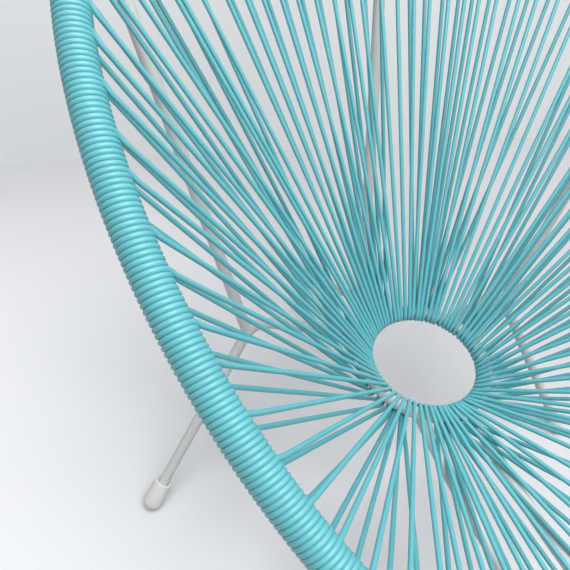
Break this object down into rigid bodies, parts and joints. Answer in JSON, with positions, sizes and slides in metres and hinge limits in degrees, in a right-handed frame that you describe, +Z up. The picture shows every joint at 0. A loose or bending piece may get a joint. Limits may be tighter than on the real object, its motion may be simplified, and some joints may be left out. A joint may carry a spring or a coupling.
{
  "type": "acapulco lounge chair",
  "caption": "Round lounge chair with a bucket seat of stretched turquoise plastic cords between an egg-shaped rim and a small centre ring, on a white three-legged rod frame.",
  "frame": {"origin": "on the floor under the centre of the bounding box", "axes": "+Z up, the chair faces -Y, +X to the sitter's left; symmetric about X = 0"},
  "size_m": [0.7168, 0.8444, 0.8675],
  "materials": {
    "frame": "satin white powder coat",
    "foot_caps": "satin white moulded plastic",
    "cords": "satin-gloss turquoise extruded plastic cord"
  },
  "bodies": {
    "root": {"seat_rim_tube": "frame", "centre_ring_tube": "frame", "rear_leg": "frame", "back_post": "frame", "foot_cap_rear": "foot_caps", "front_leg_left": "frame", "side_stay_left": "frame", "front_stay_left": "frame", "foot_cap_front_left": "foot_caps", "front_leg_right": "frame", "side_stay_right": "frame", "front_stay_right": "frame", "foot_cap_front_right": "foot_caps", "cord_run_back_right_1": "cords", "cord_run_back_right_2": "cords", "cord_run_back_right_3": "cords", "cord_run_back_left_1": "cords", "cord_run_back_left_2": "cords", "cord_run_back_left_3": "cords", "cord_run_side_right_1": "cords", "cord_run_side_right_2": "cords", "cord_run_side_right_3": "cords", "cord_run_side_right_4": "cords", "cord_run_side_left_1": "cords", "cord_run_side_left_2": "cords", "cord_run_side_left_3": "cords", "cord_run_side_left_4": "cords", "cord_run_front_1": "cords"}
  },
  "joints": []
}
